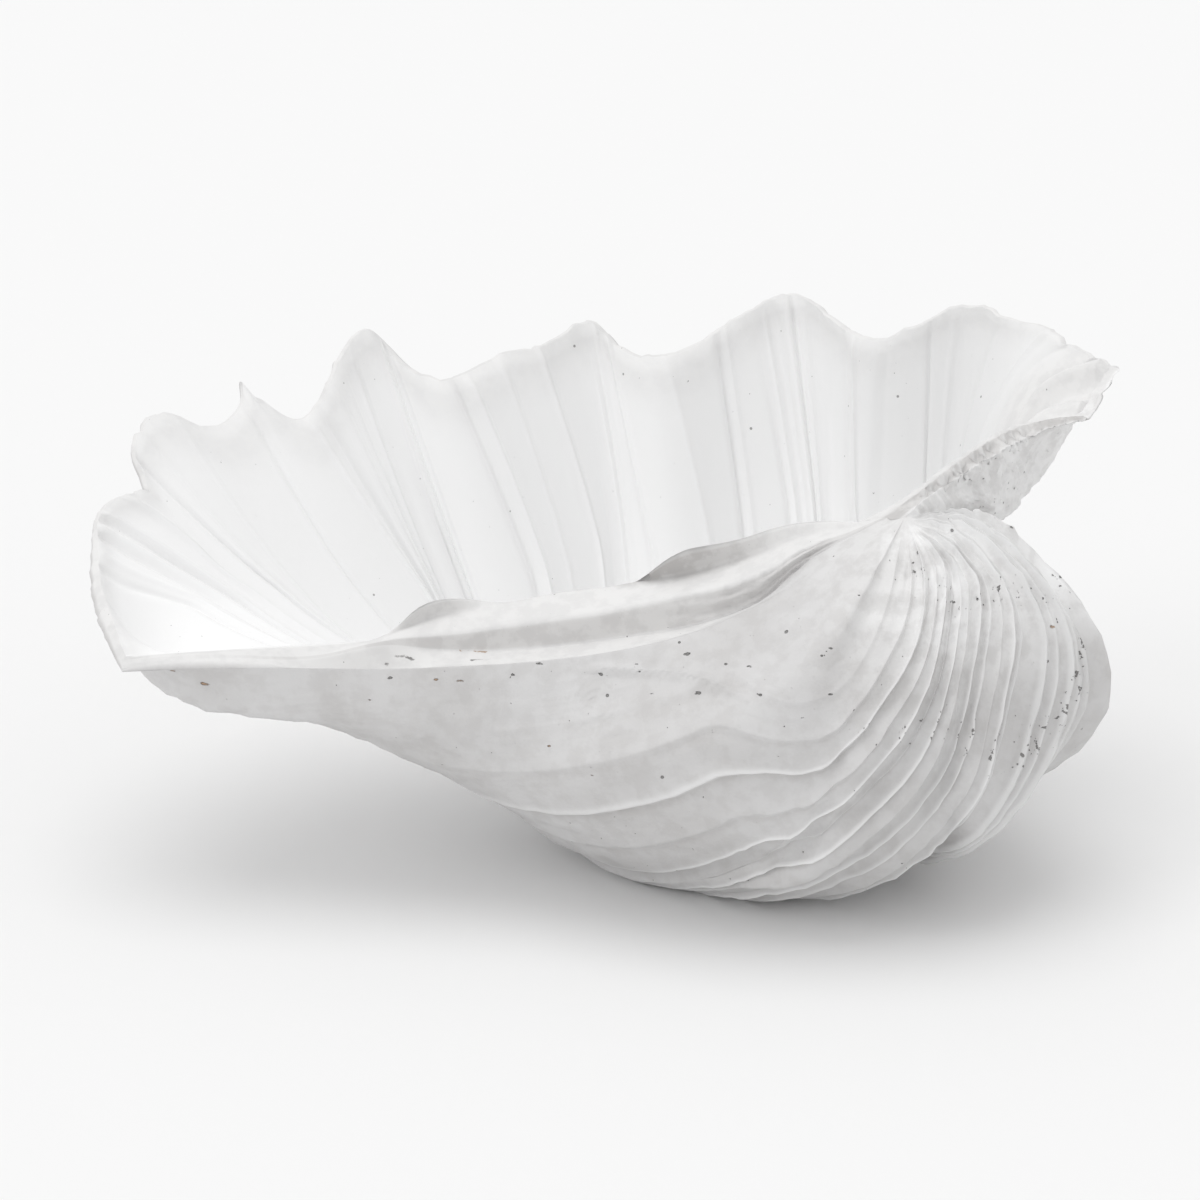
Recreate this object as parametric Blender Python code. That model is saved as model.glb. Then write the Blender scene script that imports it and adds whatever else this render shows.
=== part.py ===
# One valve of a giant clam, lying on its outside with the hollow facing up.
# The wall is a fan of curves that leave the beak, sweep round under the body and climb to the scalloped margin.
# X runs along the hinge, Y away from it and Z up. The tables are in millimetres.
import bpy
import bmesh
import numpy as np

part_name = "clam_shell"
metres = 0.001                    # tables are in millimetres
centring = (-4.0, -5.5, 0.0)      # puts the shell over the origin

# How finely the surface is drawn
rib_steps = 100                   # along the margin, shared out so that every riblet has its own
growth_steps = 20                 # from beak to margin
growth_pace = 1.25                # above 1 for shorter steps near the beak
edge_steps = 6                    # across the thickness of the margin and across the hinge

crease_angle = 0.6                # radians; sharper corners stay crisp

# Wall
margin_thickness = 5.0
body_thickness = 13.0
hinge_thickness = 30.0            # extra stock under the hinge
hollow_start = 0.45               # growth by which the hollow follows the outside
fold_growth = 2.2                 # how late the scallops of the margin start on the wall

# Ribs. Each ends at its place on the margin and swings to the near end of the body as it nears the beak
rib_height = 1.8
riblet_height = 3.0
riblet_places = (0.148, 0.264, 0.352, 0.452, 0.487, 0.559, 0.588, 0.645, 0.692, 0.743)
riblet_sharpness = 3.0            # how narrow the riblets are against the valleys between them
rib_gather = 0.76                 # how far round the ribs crowd together at the beak
rib_gather_pace = 0.05
swing_start = 0.05                # growth at which the swing begins to fade
first_swing_end = 0.28            # growth at which it is gone, for the first rib
later_swing_end = 0.4             # added to that for the last one

# Places along a growth curve where the tables give a point, from beak to margin
growth_places = (0.0, 0.12, 0.27, 0.42, 0.56, 0.70, 0.85, 1.0)

beak = (153, -118, 217)

# The margin, from the hinge's far corner round the open side to the near corner
margin = {
    "hinge corner": (-244, -113, 132), "left turn": (-262, -80, 156), "lobe 1": (-266, -46, 171),
    "lobe 1 far side": (-262, -16, 188), "dip 1": (-246, 8, 191), "lobe 2 near side": (-251, 20, 203),
    "lobe 2": (-240, 45, 219), "lobe 2 sag": (-216, 60, 207), "spur foot": (-200, 76, 211), "spur": (-195, 85, 218),
    "dip 2": (-172, 86, 204), "lobe 3 rise": (-150, 112, 222), "lobe 3": (-129, 140, 239),
    "lobe 3 fall": (-112, 133, 226), "dip 3": (-90, 122, 216), "lobe 4 foot": (-58, 140, 224),
    "lobe 4 rise": (-28, 158, 228), "lobe 4": (-5, 172, 235), "lobe 4 fall": (12, 160, 225), "dip 4": (30, 147, 222),
    "lobe 5 foot": (60, 165, 228), "lobe 5 rise": (86, 182, 240), "lobe 5": (110, 190, 246),
    "lobe 5 fall": (130, 176, 240), "dip 5": (156, 152, 231), "lobe 6 rise": (178, 148, 240),
    "lobe 6": (203, 147, 252), "lobe 6 fall": (232, 118, 251), "dip 6": (247, 90, 254), "tip rise": (262, 62, 250),
    "tip": (275, 35, 247), "tip fall": (268, 18, 238), "near corner": (259, 0, 232),
}

# Growth curves of the outside, from the beak to the named point of the margin
growth_curves = {
    "hinge corner": ((116, -122, 194), (72, -124, 168), (20, -127, 151), (-45, -127, 142), (-110, -124, 138),
                     (-180, -118, 136)),
    "left turn": ((119, -137, 191), (72, -150, 153), (14, -147, 127), (-56, -133, 109), (-126, -121, 109),
                  (-212, -98, 109)),
    "lobe 1": ((122, -150, 187), (72, -168, 140), (5, -158, 106), (-68, -122, 86), (-140, -98, 97), (-220, -64, 125)),
    "lobe 2": ((128, -158, 178), (92, -176, 108), (42, -148, 58), (-28, -88, 36), (-98, -27, 70), (-176, 6, 127)),
    "lobe 3": ((135, -162, 170), (112, -174, 84), (72, -130, 24), (12, -62, 3), (-42, 17, 32), (-86, 88, 119)),
    "lobe 4": ((145, -163, 168), (136, -170, 76), (112, -120, 14), (65, -45, 1), (24, 50, 32), (10, 125, 121)),
    "lobe 5": ((162, -160, 172), (176, -160, 80), (168, -104, 30), (142, -38, 13), (124, 62, 48), (118, 144, 135)),
    "lobe 6": ((182, -152, 186), (220, -136, 108), (225, -82, 62), (212, 0, 48), (204, 85, 90), (203, 130, 165)),
    "lobe 6 fall": ((190, -138, 195), (240, -105, 152), (255, -58, 108), (224, 10, 92), (213, 75, 122),
                    (218, 106, 185)),
    "dip 6": ((185, -118, 207), (214, -80, 185), (216, -36, 154), (211, 14, 146), (218, 54, 172), (230, 80, 215)),
    "tip": ((176, -96, 210), (194, -62, 200), (211, -28, 189), (224, -4, 194), (240, 14, 208), (254, 27, 231)),
    "near corner": ((166, -98, 221), (183, -74, 223), (199, -54, 226), (213, -38, 229), (228, -24, 231),
                    (243, -12, 232)),
}

# The hinge plate, beak end to hinge corner: ledge, foot and crest of the long tooth, foot and top of the back wall
hinge_places = (0, 0.06, 0.12, 0.2, 0.27, 0.35, 0.42, 0.5, 0.56, 0.63, 0.665, 0.70, 0.77, 0.85, 1)
hinge_lines = {
    "ledge": ((147, -110, 213), (126, -109, 203), (105, -108, 188), (83, -107, 169), (62, -106, 158), (36, -104, 147),
              (8, -101, 139), (-24, -99, 133), (-50, -97, 130), (-80, -97, 129), (-95, -98, 128), (-110, -99, 127),
              (-145, -105, 130), (-180, -112, 137), (-244, -113, 134)),
    "tooth foot": ((145, -107, 213), (125, -103, 203), (104, -99, 190), (83, -95, 169), (62, -90, 158),
                   (36, -84, 148), (8, -79, 143), (-24, -76, 138), (-50, -76, 137), (-80, -79, 139), (-95, -83, 140),
                   (-110, -90, 140), (-145, -101, 135), (-180, -109, 138), (-244, -113, 136)),
    "tooth crest": ((143, -104, 212), (124, -101, 203), (104, -98, 193), (83, -96, 179), (62, -93, 170),
                    (36, -88, 162), (8, -84, 154), (-24, -82, 148), (-50, -82, 144), (-80, -84, 141), (-95, -86, 141),
                    (-110, -91, 141), (-145, -99, 136), (-180, -107, 139), (-243, -112, 138)),
    "back foot": ((137, -98, 209), (122, -90, 202), (102, -82, 194), (82, -74, 183), (60, -67, 172), (34, -64, 165),
                  (6, -62, 161), (-25, -63, 155), (-51, -65, 152), (-81, -69, 147), (-95, -74, 144), (-108, -82, 141),
                  (-145, -96, 137), (-180, -104, 140), (-243, -112, 138)),
    "back top": ((130, -92, 205), (117, -85, 203), (98, -78, 198), (80, -72, 191), (59, -67, 185), (32, -62, 177),
                 (6, -60, 162), (-26, -60, 158), (-52, -62, 152), (-82, -67, 154), (-96, -72, 150), (-108, -78, 141),
                 (-145, -93, 138), (-180, -102, 140), (-243, -112, 139)),
}
hollow_edge = ((122, -80, 172), (88, -64, 165), (48, -58, 152), (-2, -56, 138), (-58, -60, 134), (-116, -77, 136),
               (-180, -97, 139), (-242, -111, 140))

# The toothed edge between beak and near corner, outer edge first
gape_lines = (
    ((147, -110, 213), (164, -94, 221), (180, -71, 224), (196, -50, 227), (210, -34, 230), (225, -20, 232),
     (241, -9, 233), (257, 1, 233)),
    ((145, -107, 213), (163, -93, 221), (179, -69, 225), (194, -48, 228), (208, -32, 231), (224, -18, 233),
     (240, -7, 234), (257, 2, 233)),
    ((143, -104, 212), (162, -91, 221), (178, -67, 225), (193, -46, 228), (207, -30, 231), (223, -16, 233),
     (239, -6, 234), (256, 2, 233)),
    ((137, -98, 209), (159, -86, 219), (176, -62, 223), (191, -41, 226), (205, -25, 230), (220, -12, 232),
     (237, -3, 233), (255, 3, 232)),
    ((130, -92, 205), (155, -80, 214), (173, -57, 220), (188, -37, 223), (202, -21, 227), (218, -9, 230),
     (235, -1, 231), (254, 3, 231)),
    ((122, -80, 172), (148, -74, 196), (168, -52, 209), (184, -33, 215), (199, -18, 220), (215, -6, 225),
     (233, 1, 228), (253, 4, 229)),
)

shell_colour = (0.82, 0.82, 0.81, 1.0)


def spline(places, values, at):
    """Natural cubic curve through values at the given places, read at the wanted places."""
    places = np.asarray(places, float)
    values = np.asarray(values, float)
    at = np.asarray(at, float)
    gaps = np.diff(places)
    count = len(places)
    system = np.zeros((count, count))
    pull = np.zeros(values.shape)
    system[0, 0] = system[-1, -1] = 1.0
    for i in range(1, count - 1):
        system[i, i - 1:i + 2] = gaps[i - 1], 2 * (gaps[i - 1] + gaps[i]), gaps[i]
        pull[i] = 6 * ((values[i + 1] - values[i]) / gaps[i] - (values[i] - values[i - 1]) / gaps[i - 1])
    bend = np.linalg.solve(system, pull.reshape(count, -1)).reshape(pull.shape)
    cell = np.clip(np.searchsorted(places, at) - 1, 0, count - 2)
    spread = (...,) + (None,) * (values.ndim - 1)
    left = ((places[cell + 1] - at) / gaps[cell])[spread]
    right = ((at - places[cell]) / gaps[cell])[spread]
    width = gaps[cell][spread]
    curve = (left ** 3 - left) * bend[cell] + (right ** 3 - right) * bend[cell + 1]
    return left * values[cell] + right * values[cell + 1] + curve * width ** 2 / 6


def smooth_step(low, high, value):
    ramp = np.clip((value - low) / (high - low), 0.0, 1.0)
    return ramp * ramp * (3 - 2 * ramp)


margin_names = list(margin)
margin_points = np.array(list(margin.values()), float)
margin_gaps = np.linalg.norm(np.diff(margin_points, axis=0), axis=1)
margin_places = np.concatenate([[0.0], np.cumsum(margin_gaps)]) / margin_gaps.sum()
place_of = dict(zip(margin_names, margin_places))

curve_places = np.array([place_of[name] for name in growth_curves])
curve_points = np.array([[beak, *points, margin[name]] for name, points in growth_curves.items()], float)


def rib_wave(around):
    """1 on the ribs and -1 in the grooves between them."""
    crests = ("lobe 1", "lobe 2", "lobe 3", "lobe 4", "lobe 5", "lobe 6 rise", "lobe 6 fall", "tip")
    grooves = ("dip 1", "dip 2", "dip 3", "dip 4", "dip 5", "lobe 6", "dip 6")
    marks = [(place_of[name], 1.0) for name in crests] + [(place_of[name], -1.0) for name in grooves]
    marks = sorted(marks + [(0.0, -0.4), (1.0, -0.4)])
    wave = np.interp(around, [place for place, level in marks], [level for place, level in marks])
    return np.sin(wave * np.pi / 2)


def rib_places(ends, growth):
    """Places round the wall that each rib passes, from the place on the margin where it ends."""
    gathered = rib_gather * (1 - np.exp(-ends / rib_gather_pace)) + (1 - rib_gather) * ends
    swing_end = first_swing_end + later_swing_end * ends
    swing = 1 - smooth_step(swing_start, swing_end[:, None], growth[None, :])
    return ends[:, None] + (gathered - ends)[:, None] * swing


def smooth_wall(around, growth):
    """Outer surface without ribs, for a table of places round the wall, a row for each and a column for each growth."""
    columns = spline(growth_places, curve_points.transpose(1, 0, 2), growth)
    wall = [spline(curve_places, column, at) for column, at in zip(columns, around.T)]
    scallop = spline(margin_places, margin_points, around) - spline(curve_places, curve_points[:, -1], around)
    return np.stack(wall, axis=1) + scallop * growth[None, :, None] ** fold_growth


def outward_of(around, growth):
    step = 1e-4
    growth = np.maximum(growth, 0.02)
    along = smooth_wall(around + step, growth) - smooth_wall(around - step, growth)
    up = smooth_wall(around, growth + step) - smooth_wall(around, growth - step)
    outward = np.cross(up, along)
    return outward / np.maximum(np.linalg.norm(outward, axis=2, keepdims=True), 1e-9)


def outside(ends, growth):
    """Outer surface along its ribs, for places on the margin where they end and places from beak to margin."""
    around = rib_places(ends, growth)
    beat = np.interp(ends, riblet_places, np.arange(len(riblet_places)))
    riblets = ((1 + np.cos(2 * np.pi * beat)) / 2) ** riblet_sharpness
    riblets = (riblets - 0.3)[:, None] * smooth_step(0.02, 0.12, growth) * smooth_step(0.75, 0.45, growth)
    ribs = rib_wave(ends)[:, None] * smooth_step(0.04, 0.30, growth) * smooth_step(1.0, 0.75, growth)
    sides = smooth_step(0.0, 0.06, around) * smooth_step(1.0, 0.92, around)
    height = (rib_height * ribs + riblet_height * riblets) * sides
    return smooth_wall(around, growth) + outward_of(around, growth) * height[:, :, None]


def line_at(points, growth, places=growth_places):
    return spline(places, points, growth)


def inside(around, growth):
    """Surface of the hollow. It meets the back of the hinge at one end and the last gape line at the other."""
    hollow_top = np.array(hollow_edge[0], float)

    def shrunk(places):
        places = np.repeat(places[:, None], len(growth), axis=1)
        stock = margin_thickness + (body_thickness - margin_thickness) * smooth_step(1.0, 0.7, growth)
        stock = stock + hinge_thickness * smooth_step(0.6, 0.15, growth)
        extra = hinge_thickness * np.exp(-(places / 0.16) ** 2) * smooth_step(0.9, 0.6, growth)
        wall = smooth_wall(places, growth) - outward_of(places, growth) * (stock + extra)[:, :, None]
        reach = np.sin(np.clip(growth / hollow_start, 0.0, 1.0) * np.pi / 2)
        return hollow_top + (wall - hollow_top) * reach[None, :, None]

    wall = shrunk(around)
    hinge_gap = line_at(hollow_edge, growth) - shrunk(np.array([0.0]))[0]
    gape_gap = line_at(gape_lines[-1], growth) - shrunk(np.array([1.0]))[0]
    at_hinge = np.exp(-(around / 0.07) ** 2) - np.exp(-(1 / 0.07) ** 2)
    at_gape = np.exp(-((1 - around) / 0.05) ** 2)
    return wall + at_hinge[:, None, None] * hinge_gap[None] + at_gape[:, None, None] * gape_gap[None]


def place_grid(bm, points):
    """A flat grid carried onto a table of points."""
    wide, high = points.shape[0] - 1, points.shape[1] - 1
    made = bmesh.ops.create_grid(bm, x_segments=wide, y_segments=high, size=0.5)
    for vert in made["verts"]:
        spot = round((vert.co.x + 0.5) * wide), round((vert.co.y + 0.5) * high)
        vert.co = (points[spot] + centring) * metres


def build_shell():
    marks = (0.0, riblet_places[0] / 3, *riblet_places, 1.0)
    steps = [max(4, round(gap * rib_steps / 2) * 2) for gap in np.diff(marks)]
    around = np.concatenate([np.linspace(low, high, count, endpoint=False)
                             for low, high, count in zip(marks, marks[1:], steps)] + [[1.0]])
    growth = np.linspace(0.0, 1.0, growth_steps + 1) ** growth_pace
    outer = outside(around, growth)
    inner = inside(around, growth)
    outer[:, :, 2] = np.maximum(outer[:, :, 2], 0.0)   # the worn flat it rests on

    # rounded edge of the margin
    across = np.linspace(0.0, 1.0, edge_steps + 1)
    lip = outer[:, -1, None] + (inner[:, -1] - outer[:, -1])[:, None] * across[None, :, None]
    rise = outer[:, -1] - outer[:, -2]
    rise = rise / np.linalg.norm(rise, axis=1, keepdims=True)
    lip = lip + rise[:, None] * (np.sin(np.pi * across) * margin_thickness * 0.3)[None, :, None]
    wall = np.concatenate([outer, lip[:, 1:-1], inner[:, ::-1]], axis=1)

    bm = bmesh.new()
    place_grid(bm, wall)
    hinge = [outer[0]] + [line_at(line, growth, hinge_places) for line in hinge_lines.values()] + [inner[0]]
    gape = [outer[-1]] + [line_at(line, growth) for line in gape_lines[:-1]] + [inner[-1]]
    for side, rows in ((0, hinge), (-1, gape)):
        plate = np.stack(rows, axis=1)
        plate[-1] = lip[side]
        place_grid(bm, plate)
    bmesh.ops.remove_doubles(bm, verts=bm.verts, dist=0.000002)
    bmesh.ops.recalc_face_normals(bm, faces=bm.faces)
    mesh = bpy.data.meshes.new(part_name)
    bm.to_mesh(mesh)
    bm.free()
    return mesh


def shell_material():
    material = bpy.data.materials.new("shell_white")
    material.use_nodes = True
    shader = material.node_tree.nodes["Principled BSDF"]
    shader.inputs["Base Color"].default_value = shell_colour
    shader.inputs["Roughness"].default_value = 0.7
    shader.inputs["Metallic"].default_value = 0.0
    return material


for old in list(bpy.data.objects):
    bpy.data.objects.remove(old, do_unlink=True)

parts = bpy.data.collections.new("clam shell")
bpy.context.scene.collection.children.link(parts)
shell = bpy.data.objects.new(part_name, build_shell())
parts.objects.link(shell)
shell.data.materials.append(shell_material())
shell.data.shade_smooth()
shell.data.set_sharp_from_angle(angle=crease_angle)
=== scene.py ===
import math

import bmesh
import bpy
import numpy as np
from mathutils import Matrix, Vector, noise


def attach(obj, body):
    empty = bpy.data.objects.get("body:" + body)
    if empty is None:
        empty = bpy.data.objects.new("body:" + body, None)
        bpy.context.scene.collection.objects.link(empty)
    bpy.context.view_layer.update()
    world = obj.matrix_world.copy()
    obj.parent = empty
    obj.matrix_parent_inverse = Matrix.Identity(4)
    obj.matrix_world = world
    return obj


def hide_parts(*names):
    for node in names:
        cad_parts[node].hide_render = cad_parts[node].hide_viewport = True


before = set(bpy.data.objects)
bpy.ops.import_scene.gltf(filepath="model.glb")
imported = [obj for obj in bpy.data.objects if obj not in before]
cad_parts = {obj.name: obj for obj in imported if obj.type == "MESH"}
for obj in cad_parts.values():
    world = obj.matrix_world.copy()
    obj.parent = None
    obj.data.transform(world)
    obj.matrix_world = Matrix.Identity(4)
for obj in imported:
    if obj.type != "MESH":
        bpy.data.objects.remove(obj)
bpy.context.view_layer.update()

# One valve of a giant clam, cast in plaster white, lying on its outside with the hollow up.
# Tables are in millimetres: X along the hinge, Y away from it, Z up. A place is a share of the way
# round the margin, and growth runs from 0 at the beak to 1 at the margin.

shell = {
    "columns": 400,              # round the margin
    "rows": 102,                 # beak to margin
    "rowPace": 1.15,             # above 1 for shorter steps near the beak
    "centring": (-4.0, -5.5, 0.0),
    "marginThickness": 4.6,
    "bodyThickness": 13.0,
    "hingeThickness": 30.0,
    "leastThickness": 2.6,
    "hollowStart": 0.45,         # growth at which the hollow has left the hinge
    "foldGrowth": 2.2,           # how late the scallops rise, as a power of growth
    "ribHeight": 1.2,
    "farRibHeight": 2.6,         # more on the side away from the hinge
    "foldHeight": 2.4,           # of the hollow's fine ridges, against the table below
    "ribletHeight": 4.2,
    "stepHeight": 1.6,
    "crumbHeight": 3.6,          # where riblets cross the rows of pits
    "scarHeight": 2.4,
    "scarHalfWidth": 2.2,
    "toothRidgeHeight": 2.0,
    "hingeCrumble": 1.6,
    "gapeCrumble": 2.2,
    "ribGather": 0.76,           # place that most ribs start near, at the beak
    "ribGatherPace": 0.05,
    "swingStart": 0.05,          # growth over which the ribs swing to their own place
    "firstSwingEnd": 0.28,
    "laterSwingEnd": 0.4,
}

growthPlaces = (0.0, 0.12, 0.27, 0.42, 0.56, 0.70, 0.85, 1.0)
beak = (153, -118, 217)

# The margin, from the hinge's far corner round the open side to the near corner
margin = {
    "hinge corner": (-244, -113, 132), "left turn": (-262, -80, 156), "lobe 1": (-266, -46, 171),
    "lobe 1 far side": (-262, -16, 188), "dip 1": (-246, 8, 191), "lobe 2 near side": (-251, 20, 203),
    "lobe 2": (-240, 45, 219), "lobe 2 sag": (-216, 60, 207), "spur foot": (-200, 76, 211),
    "spur": (-195, 85, 218), "dip 2": (-172, 86, 204), "lobe 3 rise": (-150, 112, 222),
    "lobe 3": (-129, 140, 239), "lobe 3 fall": (-112, 133, 226), "dip 3": (-90, 122, 216),
    "lobe 4 foot": (-58, 140, 224), "lobe 4 rise": (-28, 158, 228), "lobe 4": (-5, 172, 235),
    "lobe 4 fall": (12, 160, 225), "dip 4": (30, 147, 222), "lobe 5 foot": (60, 165, 228),
    "lobe 5 rise": (86, 182, 240), "lobe 5": (110, 190, 246), "lobe 5 fall": (130, 176, 240),
    "dip 5": (156, 152, 231), "lobe 6 rise": (178, 148, 240), "lobe 6": (203, 147, 252),
    "lobe 6 fall": (232, 118, 251), "dip 6": (247, 90, 254), "tip rise": (262, 62, 250),
    "tip": (275, 35, 247), "tip fall": (268, 18, 238), "near corner": (259, 0, 232),
}

# Growth curves of the outside, from the beak to the named point of the margin
growthCurves = {
    "hinge corner": ((116, -122, 194), (72, -124, 168), (20, -127, 151), (-45, -127, 142),
                     (-110, -124, 138), (-180, -118, 136)),
    "left turn": ((119, -137, 191), (72, -150, 153), (14, -147, 127), (-56, -133, 109), (-126, -121, 109),
                  (-212, -98, 109)),
    "lobe 1": ((122, -150, 187), (72, -168, 140), (5, -158, 106), (-68, -122, 86), (-140, -98, 97),
               (-220, -64, 125)),
    "lobe 2": ((128, -158, 178), (92, -176, 108), (42, -148, 58), (-28, -88, 36), (-98, -27, 70),
               (-176, 6, 127)),
    "lobe 3": ((135, -162, 170), (112, -174, 84), (72, -130, 24), (12, -62, 3), (-42, 17, 32),
               (-86, 88, 119)),
    "lobe 4": ((145, -163, 168), (136, -170, 76), (112, -120, 14), (65, -45, 1), (24, 50, 32),
               (10, 125, 121)),
    "lobe 5": ((162, -160, 172), (176, -160, 80), (168, -104, 30), (142, -38, 13), (124, 62, 48),
               (118, 144, 135)),
    "lobe 6": ((182, -152, 186), (220, -136, 108), (225, -82, 62), (212, 0, 48), (204, 85, 90),
               (203, 130, 165)),
    "lobe 6 fall": ((190, -138, 195), (240, -105, 152), (255, -58, 108), (224, 10, 92), (213, 75, 122),
                    (218, 106, 185)),
    "dip 6": ((185, -118, 207), (214, -80, 185), (216, -36, 154), (211, 14, 146), (218, 54, 172),
              (230, 80, 215)),
    "tip": ((176, -96, 210), (194, -62, 200), (211, -28, 189), (224, -4, 194), (240, 14, 208),
            (254, 27, 231)),
    "near corner": ((166, -98, 221), (183, -74, 223), (199, -54, 226), (213, -38, 229), (228, -24, 231),
                    (243, -12, 232)),
}

# The hinge plate, beak end to hinge corner: the ledge, the long tooth and the back wall
hingePlaces = (0, 0.06, 0.12, 0.2, 0.27, 0.35, 0.385, 0.42, 0.5, 0.56, 0.63, 0.665, 0.70, 0.77, 0.85, 1)
hingeLines = {
    "ledge": ((147, -110, 213), (126, -109, 203), (105, -108, 188), (83, -107, 169), (62, -106, 158),
              (36, -104, 147), (22, -103, 143), (8, -101, 139), (-24, -99, 133), (-50, -97, 130),
              (-80, -97, 129), (-95, -98, 128), (-110, -99, 127), (-145, -105, 130), (-180, -112, 137),
              (-244, -113, 134)),
    "tooth foot": ((145, -107, 213), (125, -104, 201), (104, -100, 186), (83, -97, 165), (62, -93, 154),
                   (36, -88, 145), (22, -86, 142), (8, -83, 139), (-24, -81, 134), (-50, -81, 132),
                   (-80, -84, 133), (-95, -88, 136), (-110, -93, 139), (-145, -101, 135),
                   (-180, -109, 138), (-244, -113, 136)),
    "tooth crest": ((143, -104, 212), (124, -101, 203), (104, -98, 193), (83, -96, 179), (62, -93, 170),
                    (36, -87, 162), (22, -85, 158), (8, -83, 154), (-24, -80, 148), (-50, -80, 144),
                    (-80, -83, 141), (-95, -86, 141), (-110, -91, 141), (-145, -99, 136),
                    (-180, -107, 139), (-243, -112, 138)),
    "back foot": ((137, -98, 209), (122, -90, 202), (102, -82, 194), (82, -74, 183), (60, -66, 172),
                  (34, -63, 165), (20, -62, 163), (6, -62, 160), (-25, -63, 155), (-51, -65, 152),
                  (-81, -69, 147), (-95, -74, 144), (-108, -82, 141), (-145, -96, 137), (-180, -104, 140),
                  (-243, -112, 138)),
    "back top": ((130, -92, 205), (117, -85, 204), (98, -79, 200), (80, -74, 193), (59, -70, 186),
                 (33, -68, 176), (19, -62, 163), (6, -60, 159), (-26, -60, 155), (-52, -61, 151),
                 (-82, -70, 156), (-96, -76, 152), (-108, -80, 142), (-145, -93, 138), (-180, -102, 140),
                 (-243, -112, 139)),
}
hollowEdge = ((122, -80, 172), (94, -60, 167), (56, -51, 155), (5, -53, 138), (-53, -57, 134),
              (-110, -76, 136), (-180, -97, 139), (-242, -111, 140))

# The toothed edge between beak and near corner, outer edge first
gapeLines = (
    ((147, -110, 213), (164, -94, 221), (180, -71, 224), (196, -50, 227), (210, -34, 230),
     (225, -20, 232), (241, -9, 233), (257, 1, 233)),
    ((145, -107, 213), (163, -93, 221), (179, -69, 225), (194, -48, 228), (208, -32, 231),
     (224, -18, 233), (240, -7, 234), (257, 2, 233)),
    ((143, -104, 212), (162, -91, 221), (178, -67, 225), (193, -46, 228), (207, -30, 231),
     (223, -16, 233), (239, -6, 234), (256, 2, 233)),
    ((137, -98, 209), (159, -86, 219), (176, -62, 223), (191, -41, 226), (205, -25, 230), (220, -12, 232),
     (237, -3, 233), (255, 3, 232)),
    ((130, -92, 205), (155, -80, 214), (173, -57, 220), (188, -37, 223), (202, -21, 227), (218, -9, 230),
     (235, -1, 231), (254, 3, 231)),
    ((122, -80, 172), (148, -74, 196), (168, -52, 209), (184, -33, 215), (199, -18, 220), (215, -6, 225),
     (233, 1, 228), (253, 4, 229)),
)

# Riblets of the outside: place where each ends on the margin, height against the tallest
riblets = ((0.05, 0.2), (0.095, 0.4), (0.148, 0.9), (0.208, 0.5), (0.264, 1.0), (0.309, 0.5),
           (0.352, 1.0), (0.40, 0.4), (0.452, 1.0), (0.487, 0.9), (0.53, 0.5), (0.559, 1.1), (0.588, 1.2),
           (0.645, 1.3), (0.667, 1.0), (0.692, 1.4), (0.718, 1.1), (0.743, 1.5), (0.79, 1.4), (0.84, 0.9))

# Growth at which the body steps in, and at which the higher row of pits lies, by place on the margin
stepLine = ((0, 0.19), (0.15, 0.19), (0.35, 0.198), (0.474, 0.21), (0.534, 0.223), (0.652, 0.27),
            (1, 0.34))
pitLine = ((0, 0.05), (0.10, 0.06), (0.20, 0.09), (0.34, 0.12), (0.44, 0.13), (0.58, 0.15), (0.70, 0.23),
           (1, 0.3))

# A raised scar low on the body and the small flaws, as place and growth, with each flaw's radius
scar = ((0.011, 0.465), (0.015, 0.443), (0.026, 0.39), (0.035, 0.357), (0.056, 0.312), (0.063, 0.278))
darkFlaws = ((0.007, 0.688, 1.2), (0.008, 0.555, 1.4), (0.002, 0.53, 1.6), (0.016, 0.46, 1.8),
             (0.014, 0.42, 1.8), (0.022, 0.415, 1.5), (0.017, 0.355, 2.2), (0.041, 0.297, 2.4),
             (0.039, 0.265, 1.4), (0.020, 0.162, 1.6), (0.020, 0.168, 1.7), (0.021, 0.174, 1.4),
             (0.049, 0.19, 2.4), (0.053, 0.253, 2.0), (0.057, 0.33, 1.8), (0.043, 0.395, 2.2),
             (0.067, 0.225, 1.8), (0.10, 0.052, 1.6), (0.195, 0.083, 1.4), (0.214, 0.103, 1.6),
             (0.444, 0.128, 1.6), (0.584, 0.147, 1.5), (0.708, 0.22, 1.5), (0.741, 0.312, 1.8),
             (0.01, 0.105, 1.4))
brownFlaws = ((0.015, 0.875, 2.6), (0.007, 0.927, 2.0), (0.025, 0.698, 2.0), (0.01, 0.61, 2.6),
              (0.009, 0.638, 1.5), (0.07, 0.485, 1.8), (0.667, 0.223, 2.0), (0.107, 0.438, 1.5),
              (0.05, 0.985, 2.4), (0.062, 0.99, 2.0))
# Streaks on the ledge: growth, share of the way from its edge to the tooth's foot, half length
brownStreaks = ((0.60, 0.97, 8.0),)
darkStreaks = ((0.587, 0.35, 3.0), (0.675, 0.5, 7.0), (0.70, 0.30, 2.0))
ripple = (0.036, 0.462)     # middle of a patch of round ripples

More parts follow.
